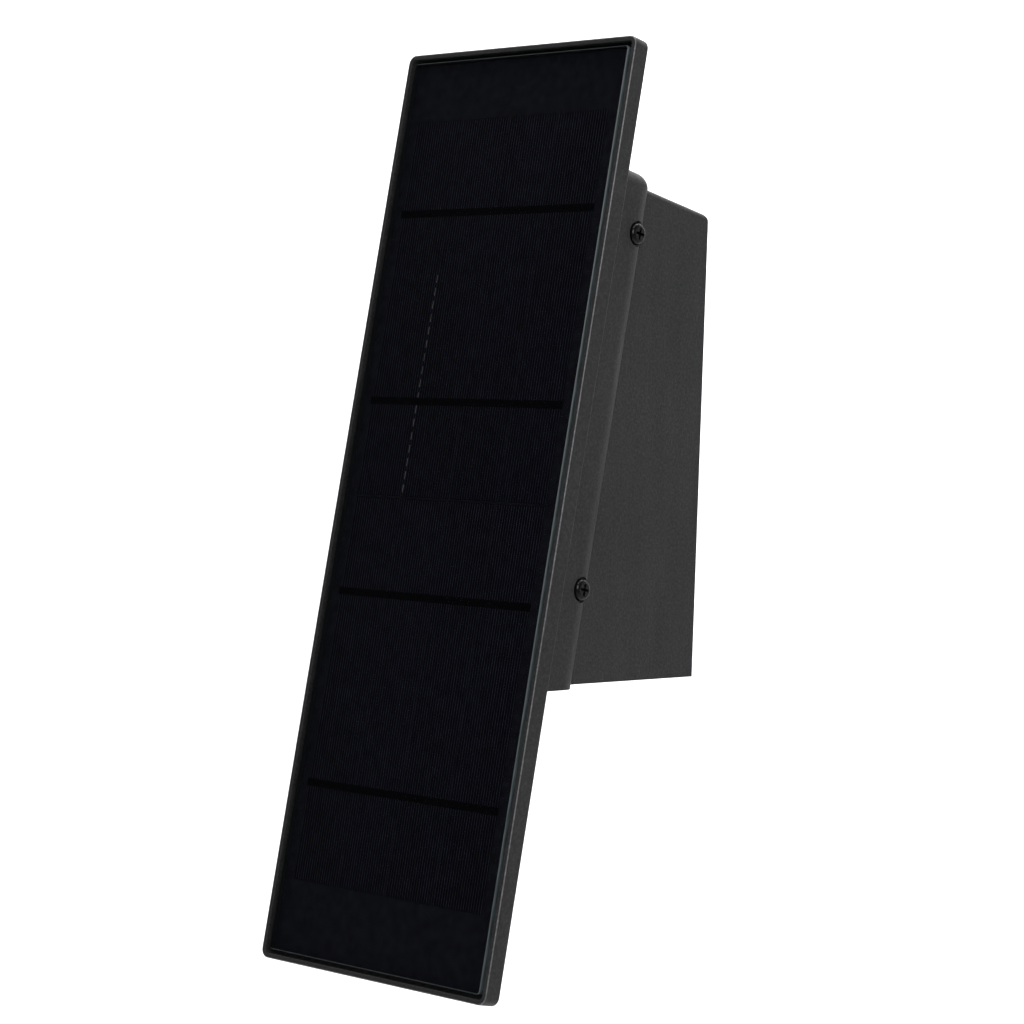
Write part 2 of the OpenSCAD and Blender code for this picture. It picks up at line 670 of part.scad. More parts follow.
module motion_board() color("darkgreen") difference() {
    union() {
        block([-32.3, -59, control_z], [-15, -50.8, control_z + control_t]);
        block([-36.2, -53.6, control_z], [-25, -48.6, control_z + control_t]);
    }
    for (p = motion_screw_at) post(p, control_z - 1, control_z + 2, 1.1);
}

module speaker() color([0.1, 0.1, 0.1]) {
    post(speaker_at, plate_top + 0.3, plate_top + 4.4, 8.4);
    post(speaker_at, plate_top + 4, plate_top + 6.2, 5);
}

module speaker_mesh() color([0.15, 0.15, 0.15]) post(speaker_at, plate_top, plate_top + 0.3, 8.2);

module speaker_lead() color("firebrick") lead([
    [-27, -15.5, -66.6], [-27, -15.5, -60], [-27.5, -22, -47], [-25, -32, -37], [-20, -40, -29.5],
    [-17.5, -40.6, -25.6], [-17, -34.4, -25]
], 1.6);

module light_pipe() color([0.9, 0.95, 1]) {
    post(light_at, floor_z, control_z - 1, 1.3);
    post(light_at, plate_top, plate_top + 0.8, 2.1);
}

// Microphone in its rubber boot
module microphone() color([0.12, 0.12, 0.12]) difference() {
    post(mic_at, plate_top, control_z, 2.3);
    post(mic_at, plate_top - 1, control_z - 1.2, 0.7, $fn = 24);
}

module control_board() color("darkgreen") difference() {
    union() {
        block([28, -53.6, control_z], [38.8, -14, control_z + control_t]);
        block([16.4, -64, control_z], [32.2, -50, control_z + control_t]);
    }
    for (p = control_screw_at) post(p, control_z - 1, control_z + 2, 1.1);
}

module tact_switches() color([0.2, 0.2, 0.2])
    for (p = button_at) {
        block([p[0] - 2.2, p[1] - 2.2, control_z - 1.6], [p[0] + 2.2, p[1] + 2.2, control_z]);
        post(p, control_z - 2.2, control_z - 1.5, 1);
    }

module control_lead() color([0.1, 0.1, 0.1]) lead([
    [33, -33, -67.6], [33, -33, -60], [31, -36, -49], [26, -40.5, -38], [20, -43, -29.5],
    [17.3, -40.6, -25.5], [17, -34.4, -25]
], 1.8);

// Push button with its retaining flange and the stem that meets the switch
module push_button(at) {
    post(at, floor_z - 0.6, plate_top + 0.2, button_r);
    post(at, plate_top + 0.1, plate_top + 0.9, button_r + 0.8);
    post(at, plate_top + 0.8, control_z - 2.9, 1.3);
}

module power_button() color("slategray") push_button(button_at[0]);

module pairing_button() color("slategray") push_button(button_at[1]);

module charging_socket() color("silver") translate([usb_at[0], usb_at[1], 0]) difference() {
    block([-4.5, -1.6, floor_z + 1.8], [4.5, 1.6, control_z]);
    block([-4.1, -1.2, floor_z + 1], [4.1, 1.2, control_z - 0.6]);
}

module card_socket() color("silver") translate([card_at[0], card_at[1], 0]) difference() {
    block([-6.5, -0.9, floor_z + 1.8], [6.5, 0.9, control_z]);
    block([-5.7, -0.5, floor_z + 1], [5.7, 0.5, control_z - 0.6]);
}

// Cover over the two sockets, on a pin along its rear edge, with a finger notch at its front
module port_flap() color([0.08, 0.08, 0.08]) {
    mid = (flap_x[0] + flap_x[1]) / 2;
    difference() {
        union() {
            block([flap_x[0], flap_low, floor_z], [flap_x[1], flap_axis[0], floor_z + flap_t]);
            translate([0, flap_axis[0], flap_axis[1]]) x_rod(flap_x[0], flap_x[1], 0.75);
        }
        translate([mid, flap_low - 1, floor_z - 1]) cylinder(h = 4, r = 2.4);
    }
    translate([0, flap_axis[0], flap_axis[1]]) x_rod(flap_x[0] - 1, flap_x[1] + 1, 0.4);
}

panel_frame();
cover_glass();
solar_cells();
busbar_tapes();
cell_backsheet();
glazing_bead();
front_collar();
collar_screws();
case_gasket();
solar_terminal();
solar_lead();
wall_box();
case_screws();
threaded_inserts();
battery_tray();
battery_cells();
battery_strap();
strap_screws();
battery_lead();
main_board();
board_screws();
processor_shield();
board_chips();
board_sockets();
wifi_antenna();
antenna_lead();
base_plate();
base_gasket();
base_screws();
axle_brackets();
bracket_screws();
turret_shell();
turret_cap();
turret_window();
lens_barrel();
front_lens();
rear_lens();
infrared_board();
infrared_lights();
sensor_board();
image_sensor();
camera_lead();
motion_lens();
motion_sensor();
motion_board();
speaker();
speaker_mesh();
speaker_lead();
light_pipe();
microphone();
control_board();
tact_switches();
control_lead();
power_button();
pairing_button();
charging_socket();
card_socket();
port_flap();
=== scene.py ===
"""Looks for the solar-powered wall camera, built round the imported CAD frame. Lengths are in metres."""

import json
import math

import bmesh
import bpy
from mathutils import Matrix, Vector

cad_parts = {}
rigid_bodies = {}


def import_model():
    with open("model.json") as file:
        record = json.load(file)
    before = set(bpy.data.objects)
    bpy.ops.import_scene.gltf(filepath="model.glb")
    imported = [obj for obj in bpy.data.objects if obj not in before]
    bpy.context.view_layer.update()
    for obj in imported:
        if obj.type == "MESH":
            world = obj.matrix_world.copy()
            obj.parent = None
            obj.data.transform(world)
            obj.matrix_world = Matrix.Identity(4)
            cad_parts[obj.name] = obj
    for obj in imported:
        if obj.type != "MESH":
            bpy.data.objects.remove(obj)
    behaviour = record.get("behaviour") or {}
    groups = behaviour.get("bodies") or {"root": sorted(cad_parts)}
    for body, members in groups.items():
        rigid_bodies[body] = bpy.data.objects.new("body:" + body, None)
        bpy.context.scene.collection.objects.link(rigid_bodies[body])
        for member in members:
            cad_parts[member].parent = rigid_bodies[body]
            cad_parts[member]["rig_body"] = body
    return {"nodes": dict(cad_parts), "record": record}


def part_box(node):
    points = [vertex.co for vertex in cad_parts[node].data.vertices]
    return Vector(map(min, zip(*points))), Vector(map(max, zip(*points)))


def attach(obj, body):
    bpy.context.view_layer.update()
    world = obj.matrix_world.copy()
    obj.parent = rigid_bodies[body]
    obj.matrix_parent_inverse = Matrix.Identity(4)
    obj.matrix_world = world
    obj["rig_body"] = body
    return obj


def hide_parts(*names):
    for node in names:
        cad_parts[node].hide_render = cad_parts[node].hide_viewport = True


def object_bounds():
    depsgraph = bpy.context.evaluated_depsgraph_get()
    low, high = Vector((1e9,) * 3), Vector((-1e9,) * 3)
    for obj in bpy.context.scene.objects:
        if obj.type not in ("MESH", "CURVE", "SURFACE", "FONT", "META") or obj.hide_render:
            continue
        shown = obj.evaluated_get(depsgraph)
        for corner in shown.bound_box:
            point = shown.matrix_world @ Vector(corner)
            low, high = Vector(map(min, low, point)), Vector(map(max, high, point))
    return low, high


MM = 0.001

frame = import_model()
cad_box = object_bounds()
scene = bpy.context.scene
scene.view_settings.view_transform = "Standard"


# ---------------------------------------------------------------- the leaning panel, read from the frame

def panel_frame_of_reference():
    """Lean, length, width and thickness of the panel, and the matrix from its own axes to the frame's.
    Its own axes are x across, y behind the front face, z up the slope, from the middle of the front face."""
    glass = frame["nodes"]["cover_glass"].data
    face = max(glass.polygons, key=lambda p: p.area).normal
    lean = math.atan2(abs(face.z), abs(face.y))
    low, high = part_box("panel_frame")
    size = high - low
    c, s = math.cos(lean), math.sin(lean)
    length = (size.z * c - size.y * s) / (c * c - s * s)
    thickness = (size.y * c - size.z * s) / (c * c - s * s)
    tilt = Matrix.Rotation(-lean, 4, "X")
    middle = (low + high) / 2
    front = middle - tilt @ Vector((0, thickness / 2, 0))
    return lean, length, size.x, thickness, Matrix.Translation(front) @ tilt


LEAN, PANEL_L, PANEL_W, FRAME_T, PANEL = panel_frame_of_reference()
array_low, array_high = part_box("solar_cells")
ARRAY_X, _, ARRAY_RISE = PANEL.inverted() @ ((array_low + array_high) / 2)
# The tray's and the pane's own sizes, which the frame's boxes don't tell.
RIM_W = 1.7 * MM
GROOVE = 1.4 * MM
GLASS_DEPTH = 0.3 * MM
GLASS_T = 3.2 * MM
TRAY_DEPTH = 4.1 * MM
# The pane is shown without bending light, so what is printed under it is drawn at the depth it seems to have.
SEEMING_SHARE = 0.53
CELLS_DEPTH = GLASS_DEPTH + SEEMING_SHARE * GLASS_T
STRIPS_PER_ROW = 4
CELL_GAP = 0.4 * MM
CELL_PITCH = (array_high.x - array_low.x + CELL_GAP) / STRIPS_PER_ROW
CELL_W = CELL_PITCH - CELL_GAP
ROW_GAP = 0.6 * MM
ROW_PITCH = ((array_high.z - array_low.z) / math.cos(LEAN) + ROW_GAP) / 2
CELL_L = ROW_PITCH - ROW_GAP
TAPE_W = 2.6 * MM
LAYER_CHAMFER = 0.03 * MM


# ---------------------------------------------------------------- materials

class Shader:
    """A principled material under construction, with short calls for its nodes."""

    MIX_COLOR_A, MIX_COLOR_B, MIX_COLOR_OUT = 6, 7, 2

    def __init__(self, name, color, roughness, **sockets):
        self.material = bpy.data.materials.new(name)
        self.material.use_nodes = True
        self.tree = self.material.node_tree
        self.bsdf = self.tree.nodes["Principled BSDF"]
        self.bsdf.inputs["Base Color"].default_value = (*color, 1)
        self.bsdf.inputs["Roughness"].default_value = roughness
        for socket, value in sockets.items():
            self.bsdf.inputs[socket.replace("_", " ")].default_value = value
        self.where = self.node("ShaderNodeTexCoord").outputs["Object"]
        self.height = None

    def node(self, kind, **inputs):
        made = self.tree.nodes.new(kind)
        for name, value in inputs.items():
            self.feed(made.inputs[name.replace("_", " ")], value)
        return made

    def feed(self, socket, value):
        if isinstance(value, bpy.types.NodeSocket):
            self.tree.links.new(value, socket)
        else:
            socket.default_value = value

    def math(self, operation, a, b=0.0, clamp=False):
        made = self.tree.nodes.new("ShaderNodeMath")
        made.operation = operation
        made.use_clamp = clamp
        self.feed(made.inputs[0], a)
        self.feed(made.inputs[1], b)
        return made.outputs[0]

    def noise(self, size, detail=3.0, rough=0.55, stretch=(1, 1, 1)):
        """Soft noise from 0 to 1 whose features are about size across, drawn out along an axis by stretch."""
        mapping = self.node("ShaderNodeMapping", Vector=self.where)
        mapping.inputs["Scale"].default_value = [1 / s for s in stretch]
        made = self.node("ShaderNodeTexNoise", Vector=mapping.outputs[0], Scale=1 / size,
                         Detail=detail, Roughness=rough)
        return made.outputs["Fac"]

    def grains(self, size):
        """Distance to the nearest of a scatter of points about size apart."""
        made = self.node("ShaderNodeTexVoronoi", Vector=self.where, Scale=1 / size)
        return made.outputs["Distance"]

    def ramp(self, fac, low, high, start=0.0, end=1.0):
        """A number that goes from low to high as fac goes from start to end."""
        made = self.tree.nodes.new("ShaderNodeMapRange")
        self.feed(made.inputs["Value"], fac)
        for socket, value in (("From Min", start), ("From Max", end), ("To Min", low), ("To Max", high)):
            self.feed(made.inputs[socket], value)
        return made.outputs[0]

    def mix(self, fac, a, b):
        made = self.tree.nodes.new("ShaderNodeMix")
        made.data_type = "RGBA"
        self.feed(made.inputs["Factor"], fac)
        for socket, value in ((self.MIX_COLOR_A, a), (self.MIX_COLOR_B, b)):
            self.feed(made.inputs[socket], value if isinstance(value, bpy.types.NodeSocket) else (*value, 1))
        return made.outputs[self.MIX_COLOR_OUT]

    def paint(self, value):
        self.feed(self.bsdf.inputs["Base Color"], value)

    def shine(self, value):
        self.feed(self.bsdf.inputs["Roughness"], value)

    def bump(self, height, depth, strength=1.0):
        """Adds relief of that depth, on top of any relief there already."""
        made = self.node("ShaderNodeBump", Height=height, Distance=depth, Strength=strength)
        if self.height is not None:
            self.feed(made.inputs["Normal"], self.height)
        self.height = made.outputs[0]
        self.feed(self.bsdf.inputs["Normal"], self.height)

    def edge_wear_and_highlight(self, base, wear_and_highlight, width, amount):
        """Lightens convex edges, partly as handling wear and partly as a painted highlight where light catches
        them, and returns the colour.
        """
        bevel = self.node("ShaderNodeBevel", Radius=width)
        true_normal = self.node("ShaderNodeNewGeometry").outputs["Normal"]
        dot = self.tree.nodes.new("ShaderNodeVectorMath")
        dot.operation = "DOT_PRODUCT"
        self.feed(dot.inputs[0], bevel.outputs[0])
        self.feed(dot.inputs[1], true_normal)
        edge = self.ramp(dot.outputs["Value"], amount, 0.0, 0.80, 0.995)
        patchy = self.math("MULTIPLY", edge, self.ramp(self.noise(4 * MM), 0.35, 1.0, 0.3, 0.7))
        return self.mix(patchy, base, wear_and_highlight)


def shade(color, factor):
    return tuple(min(1.0, c * factor) for c in color)


def moulded(name, color, roughness, grain=0.9 * MM, relief=0.05 * MM, spread=0.12, wear_and_highlight=2.0, **sockets):
    """Moulded plastic: spark-eroded grain, faint flow marks, cloudy gloss, edges a little lighter, partly from
    wear and partly as a painted highlight.
    """
    s = Shader(name, color, roughness, **sockets)
    cloud = s.noise(38 * MM, 4)
    flow = s.noise(9 * MM, 3, stretch=(1, 1, 5))
    speck = s.noise(grain, 3, 0.7)
    tone = s.mix(s.ramp(cloud, 0, 1, 0.3, 0.7), shade(color, 1 - spread), shade(color, 1 + spread))
    tone = s.mix(s.ramp(speck, 0, 1, 0.25, 0.50), shade(color, 0.45), tone)
    tone = s.mix(s.ramp(speck, 0, 1, 0.50, 0.90), tone, shade(color, 2.4))
    # convex edges are lightened, partly as wear and partly as a painted highlight
    s.paint(s.edge_wear_and_highlight(tone, shade(color, wear_and_highlight), 0.5 * MM, 0.8))
    s.shine(s.ramp(flow, roughness - 0.06, roughness + 0.07, 0.3, 0.7))
    s.bump(speck, relief)
    s.bump(s.grains(grain * 0.6), relief * 0.5)
    return s.material


def glossy_black(name, color, roughness, **sockets):
    """Black lacquer or satin plastic with hair-fine rub marks."""
    s = Shader(name, color, roughness, **sockets)
    rubs = s.noise(1.2 * MM, 4, stretch=(1, 1, 0.15))
    s.paint(s.mix(s.ramp(s.noise(3 * MM), 0, 1, 0.3, 0.7), shade(color, 0.7), shade(color, 1.6)))
    s.shine(s.ramp(rubs, roughness - 0.05, roughness + 0.12, 0.35, 0.7))
    s.bump(rubs, 0.004 * MM)
    return s.material


def rubbery(name, color, roughness=0.72, **sockets):
    """Moulded rubber with a dusty, slightly uneven surface."""
    s = Shader(name, color, roughness, **sockets)
    dust = s.noise(2.4 * MM, 5)
    s.paint(s.mix(s.ramp(dust, 0, 1, 0.45, 0.75), color, shade(color, 2.2)))
    s.shine(s.ramp(dust, roughness - 0.1, roughness + 0.1, 0.3, 0.7))
    s.bump(s.noise(0.3 * MM, 2), 0.015 * MM)
    return s.material


def metal(name, color, roughness, brushed=(1, 1, 12), **sockets):
    """Bare or plated metal with drawn-out scratches and cloudy plating."""
    s = Shader(name, color, roughness, Metallic=1.0, **sockets)
    scratches = s.noise(0.25 * MM, 4, 0.6, stretch=brushed)
    s.paint(s.mix(s.ramp(s.noise(5 * MM), 0, 1, 0.3, 0.7), shade(color, 0.75), shade(color, 1.08)))
    s.shine(s.ramp(scratches, roughness - 0.08, roughness + 0.15, 0.3, 0.7))
    s.bump(scratches, 0.004 * MM)
    return s.material


def circuit_board(name, color, roughness=0.35, **sockets):
    """Solder mask over copper: tracks stand a little proud and lighter, between drilled dots."""
    lane, half_track = 0.55 * MM, 0.12 * MM
    bare_copper = (0.45, 0.36, 0.16)
    s = Shader(name, color, roughness, **sockets)
    across = s.node("ShaderNodeSeparateXYZ", Vector=s.where)
    lanes = s.math("PINGPONG", across.outputs["X"], lane)
    wander = s.ramp(s.noise(6 * MM), 0, lane, 0.4, 0.6)
    track = s.math("LESS_THAN", s.math("ABSOLUTE", s.math("SUBTRACT", lanes, wander)), half_track)
    vias = s.math("LESS_THAN", s.grains(2.6 * MM), 0.13)
    tone = s.mix(track, color, shade(color, 1.7))
    s.paint(s.mix(vias, tone, bare_copper))
    s.shine(s.ramp(s.noise(8 * MM), roughness - 0.08, roughness + 0.1, 0.3, 0.7))
    s.bump(track, 0.02 * MM)
    return s.material


def dark_glass(name, color, roughness, alpha, **sockets):
    """Coated glass that shows what lies behind it: faint smears and a breath of dust."""
    dust_grey, dust_share = (0.10, 0.11, 0.12), 0.06
    s = Shader(name, color, roughness, Alpha=alpha, **sockets)
    smear = s.noise(30 * MM, 4, stretch=(1, 1, 3))
    dust = s.ramp(s.noise(0.35 * MM, 2), 0, dust_share, 0.60, 0.80)
    s.paint(s.mix(dust, color, dust_grey))
    s.shine(s.ramp(smear, roughness, roughness + 0.08, 0.35, 0.75))
    return s.material


def silicon(name, color, roughness, **sockets):
    """Solar strip: blue-black coating that drifts in tone along the strips, with its fine texture."""
    bluer = tuple(c * factor for c, factor in zip(color, (1.1, 1.3, 1.7)))
    s = Shader(name, color, roughness, **sockets)
    drift = s.noise(26 * MM, 3, stretch=(1, 1, 4))
    grain = s.noise(0.5 * MM, 3)
    tone = s.mix(s.ramp(drift, 0, 1, 0.35, 0.65), shade(color, 0.7), bluer)
    s.paint(s.mix(s.ramp(grain, 0, 0.4, 0.45, 0.75), tone, shade(color, 2.0)))
    s.shine(s.ramp(drift, roughness - 0.05, roughness + 0.08, 0.3, 0.7))
    return s.material


def ground_edge(name, color, roughness, **sockets):
    """Ground edge of the glass, grey-blue with grinding marks along it, dark where it is seen from within."""
    s = Shader(name, color, roughness, **sockets)
    marks = s.noise(0.5 * MM, 4, stretch=(1, 1, 14))
    ground = s.mix(s.ramp(marks, 0, 1, 0.35, 0.7), shade(color, 0.55), shade(color, 1.5))
    within = s.node("ShaderNodeNewGeometry").outputs["Backfacing"]
    s.paint(s.mix(within, ground, shade(color, 0.12)))
    s.shine(s.ramp(marks, roughness, roughness + 0.2, 0.3, 0.7))
    s.bump(marks, 0.01 * MM)
    return s.material


def printed_silver(name, color, roughness, **sockets):
    """Screen-printed silver lines, uneven along their length."""
    s = Shader(name, color, roughness, **sockets)
    uneven = s.noise(2.2 * MM, 4, stretch=(1, 1, 2))
    s.paint(s.mix(s.ramp(uneven, 0, 1, 0.35, 0.7), shade(color, 0.45), shade(color, 1.35)))
    s.shine(s.ramp(uneven, roughness - 0.1, roughness + 0.1, 0.3, 0.7))
    return s.material


def shrink_wrap(name, color, roughness=0.28, **sockets):
    """Glossy shrink sleeve with faint wrinkles round the cell."""
    s = Shader(name, color, roughness, **sockets)
    wrinkle = s.noise(3 * MM, 3, stretch=(5, 5, 1))
    s.paint(s.mix(s.ramp(wrinkle, 0, 1, 0.3, 0.7), shade(color, 0.85), shade(color, 1.2)))
    s.shine(s.ramp(wrinkle, roughness - 0.05, roughness + 0.12, 0.3, 0.7))
    s.bump(wrinkle, 0.05 * MM)
    return s.material


ANTHRACITE = (0.0170, 0.0170, 0.0180)
MATERIALS = {
    "anthracite_plastic": moulded("anthracite_plastic", ANTHRACITE, 0.55, Specular_IOR_Level=0.20),
    "base_plastic": moulded("base_plastic", (0.017, 0.0175, 0.019), 0.50),
    "inner_plastic": moulded("inner_plastic", (0.026, 0.027, 0.030), 0.55),
    "ball_plastic": glossy_black("ball_plastic", (0.014, 0.014, 0.016), 0.26),
    "button_grey": moulded("button_grey", (0.085, 0.09, 0.10), 0.38, relief=0.008 * MM),
    "chip": moulded("chip", (0.016, 0.016, 0.018), 0.55, grain=0.2 * MM, relief=0.01 * MM),
    "socket_nylon": moulded("socket_nylon", (0.70, 0.64, 0.50), 0.45, relief=0.008 * MM, wear_and_highlight=1.1),
    "motion_white": moulded("motion_white", (0.66, 0.66, 0.64), 0.42, relief=0.01 * MM, wear_and_highlight=1.1,
                            Subsurface_Weight=0.35, Subsurface_Radius=(0.002, 0.002, 0.002)),
    "black_tape": glossy_black("black_tape", (0.0004, 0.0005, 0.0009), 0.5, Specular_IOR_Level=0.02),
    "black_sheet": glossy_black("black_sheet", (0.0072, 0.0080, 0.0125), 0.5, Specular_IOR_Level=0.05),
    "black_screw": glossy_black("black_screw", (0.0018, 0.0018, 0.002), 0.2, Specular_IOR_Level=0.18),
    "sealant": rubbery("sealant", (0.010, 0.010, 0.011), 0.5),
    "seal_rubber": rubbery("seal_rubber", (0.018, 0.018, 0.019)),
    "lead_red": rubbery("lead_red", (0.38, 0.02, 0.02), 0.5),
    "lead_black": rubbery("lead_black", (0.016, 0.016, 0.017), 0.5),
    "bright_screw": metal("bright_screw", (0.58, 0.58, 0.56), 0.32),
    "tin_steel": metal("tin_steel", (0.60, 0.60, 0.58), 0.30),
    "brass_insert": metal("brass_insert", (0.68, 0.46, 0.17), 0.30),
    "flex_film": glossy_black("flex_film", (0.16, 0.07, 0.015), 0.3),
    "battery_wrap": shrink_wrap("battery_wrap", (0.03, 0.12, 0.38)),
    "circuit_board": circuit_board("circuit_board", (0.012, 0.085, 0.035)),
    "led": glossy_black("led", (0.05, 0.025, 0.035), 0.12),
    "cover_glass": dark_glass("cover_glass", (0.0006, 0.0007, 0.0012), 0.05, 0.42, Specular_IOR_Level=0.05),
    "window": dark_glass("window", (0.006, 0.004, 0.006), 0.03, 0.55),
    "lens_glass": dark_glass("lens_glass", (0.05, 0.07, 0.14), 0.02, 0.6, Coat_Weight=1.0),
    "light_clear": dark_glass("light_clear", (0.55, 0.60, 0.66), 0.12, 0.7),
    "solar_silicon": silicon("solar_silicon", (0.0012, 0.0013, 0.0030), 0.38, Specular_IOR_Level=0.03),
}
GLASS_EDGE = ground_edge("glass_edge", (0.060, 0.082, 0.088), 0.35, Specular_IOR_Level=0.3)
# Painted highlight: the polished arris is given a light grey-blue where light catches its bevel.
GLASS_ARRIS_HIGHLIGHT = ground_edge("glass_arris_highlight", (0.045, 0.056, 0.060), 0.35, Specular_IOR_Level=0.3)
FINGER_SILVER = printed_silver("finger_silver", (0.028, 0.031, 0.052), 0.5, Specular_IOR_Level=0.1)
SOLDER = printed_silver("solder", (0.16, 0.165, 0.17), 0.45)
# Painted highlight: a far lighter anthracite laid on the tray's front rounded edge, where light catches it.
PAINTED_EDGE_HIGHLIGHT = moulded("painted_edge_highlight", shade(ANTHRACITE, 5.0), 0.45, grain=1.1 * MM, spread=0.3)


# ---------------------------------------------------------------- mesh tools

SHARP_FROM = math.radians(38)
FLAT_WITHIN = math.radians(0.3)
WELD = 0.002 * MM
LEAST_RADIUS = 0.05 * MM


def make_object(name, bm, materials, matrix=None):
    mesh = bpy.data.meshes.new(name)
    bmesh.ops.recalc_face_normals(bm, faces=bm.faces)
    bm.to_mesh(mesh)
    bm.free()
    mesh.polygons.foreach_set("use_smooth", [True] * len(mesh.polygons))
    mesh.set_sharp_from_angle(angle=SHARP_FROM)
    for material in materials:
        mesh.materials.append(material)
    made = bpy.data.objects.new(name, mesh)
    scene.collection.objects.link(made)
    if matrix:
        made.matrix_world = matrix
    return made


def place(made, body, slot, *replaced):
    """Puts a finished piece on its body, in place of CAD nodes; its slot argument is not used."""
    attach(made, body)
    if replaced:
        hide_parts(*replaced)


def place_on_panel(name, bm, looks, slot, *replaced):
    """Finishes a piece that was built in the panel's own axes."""
    place(make_object(name, bm, looks, PANEL), "case", slot, *replaced)


def weighted_normals(made):
    """Keeps flat faces flat-shaded right up to their rounded edges."""
    modifier = made.modifiers.new("flat_faces", "WEIGHTED_NORMAL")
    modifier.keep_sharp = True
    modifier.weight = 100
    return made


def soften(node, width, segments=2, sharper_than=28, mesh=None):
    """Rounds the sharp edges of a CAD node by a copy of its mesh, which then stands for it."""
    source = frame["nodes"][node]
    bm = bmesh.new()
    bm.from_mesh(mesh or source.data)
    bmesh.ops.remove_doubles(bm, verts=bm.verts, dist=WELD)
    bmesh.ops.dissolve_limit(bm, angle_limit=FLAT_WITHIN, verts=bm.verts, edges=bm.edges)
    sharp = [e for e in bm.edges if e.is_manifold and e.calc_face_angle(0) > math.radians(sharper_than)]
    bmesh.ops.bevel(bm, geom=sharp, offset=width, offset_type="OFFSET", segments=segments, profile=0.5,
                    affect="EDGES", clamp_overlap=True)
    slot = slot_of(node)
    made = make_object(node + "_piece", bm, [MATERIALS[slot]])
    weighted_normals(made)
    place(made, source["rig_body"], slot, node)


def slot_of(node):
    return next(s["material_slot"] for s in frame["record"]["subparts"] if s["node"] == node)


def rounded_outline(width, length, radius, steps=7):
    """Points of a rounded rectangle about the origin, anticlockwise from +x."""
    radius = max(radius, LEAST_RADIUS)
    points = []
    for quarter, (side_x, side_z) in enumerate(((1, 1), (-1, 1), (-1, -1), (1, -1))):
        centre_x, centre_z = side_x * (width / 2 - radius), side_z * (length / 2 - radius)
        for k in range(steps + 1):
            a = math.radians(90 * (quarter + k / steps))
            points.append((centre_x + radius * math.cos(a), centre_z + radius * math.sin(a)))
    return points


def ring_loft(bm, width, length, radius, profile, material_of=lambda step: 0, at=(0, 0)):
    """Lofts a rounded rectangle through (inset, depth) steps, in the panel's axes, and closes both ends."""
    rings = []
    for inset, depth in profile:
        outline = rounded_outline(width - 2 * inset, length - 2 * inset, radius - inset)
        rings.append([bm.verts.new((x + at[0], depth, z + at[1])) for x, z in outline])
    for step, (a, b) in enumerate(zip(rings, rings[1:])):
        for k in range(len(a)):
            face = bm.faces.new((a[k], a[k - 1], b[k - 1], b[k]))
            face.material_index = material_of(step)
    bm.faces.new(rings[0])
    bm.faces.new(rings[-1][::-1])


# ---------------------------------------------------------------- solar panel

def build_panel_frame():
    """Tray with rounded outer edges, a painted highlight on the middle of the front rounded edge, a thin rim
    and a straight inner wall.
    """
    corner, edge, inner_edge = 3 * MM, 0.55 * MM, 0.35 * MM
    quarter_turn = [k * math.pi / 8 for k in range(5)]
    rear = [(edge * (1 - math.sin(a)), FRAME_T - edge * (1 - math.cos(a))) for a in quarter_turn]
    front = [(edge * (1 - math.cos(a)), edge * (1 - math.sin(a))) for a in quarter_turn]
    inner = [(RIM_W - inner_edge, 0), (RIM_W - 0.1 * MM, 0.1 * MM), (RIM_W, inner_edge),
             (RIM_W, TRAY_DEPTH)]
    # The middle steps of the front rounded edge take the painted highlight.
    highlight_steps = range(len(rear) + 1, len(rear) + 3)
    bm = bmesh.new()
    ring_loft(bm, PANEL_W, PANEL_L, corner, rear + front + inner,
              lambda step: int(step in highlight_steps))
    made = make_object("panel_tray", bm, [MATERIALS["anthracite_plastic"], PAINTED_EDGE_HIGHLIGHT], PANEL)
    place(weighted_normals(made), "case", "anthracite_plastic", "panel_frame")


def build_cover_glass():
    """Pane with a small polished arris round its face, painted light as a highlight, and a ground edge."""
    inset = RIM_W + GROOVE
    corner, bevel = 1.2 * MM, 0.3 * MM
    back = GLASS_DEPTH + GLASS_T
    profile = [(0.5 * MM, back), (0, back - 0.4 * MM), (0, GLASS_DEPTH + bevel), (bevel, GLASS_DEPTH)]
    looks = [MATERIALS["cover_glass"], GLASS_EDGE, GLASS_ARRIS_HIGHLIGHT]
    # the arris step takes the painted highlight
    look_of_step = (1, 1, 2)
    bm = bmesh.new()
    ring_loft(bm, PANEL_W - 2 * inset, PANEL_L - 2 * inset, corner, profile, lambda step: look_of_step[step])
    place_on_panel("glass_pane", bm, looks, "cover_glass", "cover_glass")


def cell_places():
    """Middle of each solar strip, as (x, rise)."""
    return [(ARRAY_X + i * CELL_PITCH, ARRAY_RISE + k * ROW_PITCH)
            for i in (-1.5, -0.5, 0.5, 1.5) for k in (-0.5, 0.5)]


def build_solar_strips():
    """Eight thin strips of silicon with clipped front edges."""
    corner, thick = 0.5 * MM, 0.18 * MM
    profile = [(0, CELLS_DEPTH + thick), (0, CELLS_DEPTH + LAYER_CHAMFER), (LAYER_CHAMFER, CELLS_DEPTH)]
    bm = bmesh.new()
    for middle in cell_places():
        ring_loft(bm, CELL_W, CELL_L, corner, profile, at=middle)
    place_on_panel("solar_strips", bm, [MATERIALS["solar_silicon"]], "solar_silicon", "solar_cells")


def build_cell_fingers():
    """Printed silver fingers up every strip, a little proud of it."""
    per_strip = 20
    pitch = CELL_PITCH / per_strip
    width, corner, proud, end_margin = 0.22 * MM, 0.06 * MM, 0.02 * MM, 0.25 * MM
    profile = [(0, CELLS_DEPTH), (LAYER_CHAMFER, CELLS_DEPTH - proud)]
    bm = bmesh.new()
    for x, rise in cell_places():
        for k in range(per_strip):
            middle = x + (k - (per_strip - 1) / 2) * pitch
            ring_loft(bm, width, CELL_L - 2 * end_margin, corner, profile, at=(middle, rise))
    place_on_panel("cell_fingers", bm, [FINGER_SILVER], "solar_silicon")


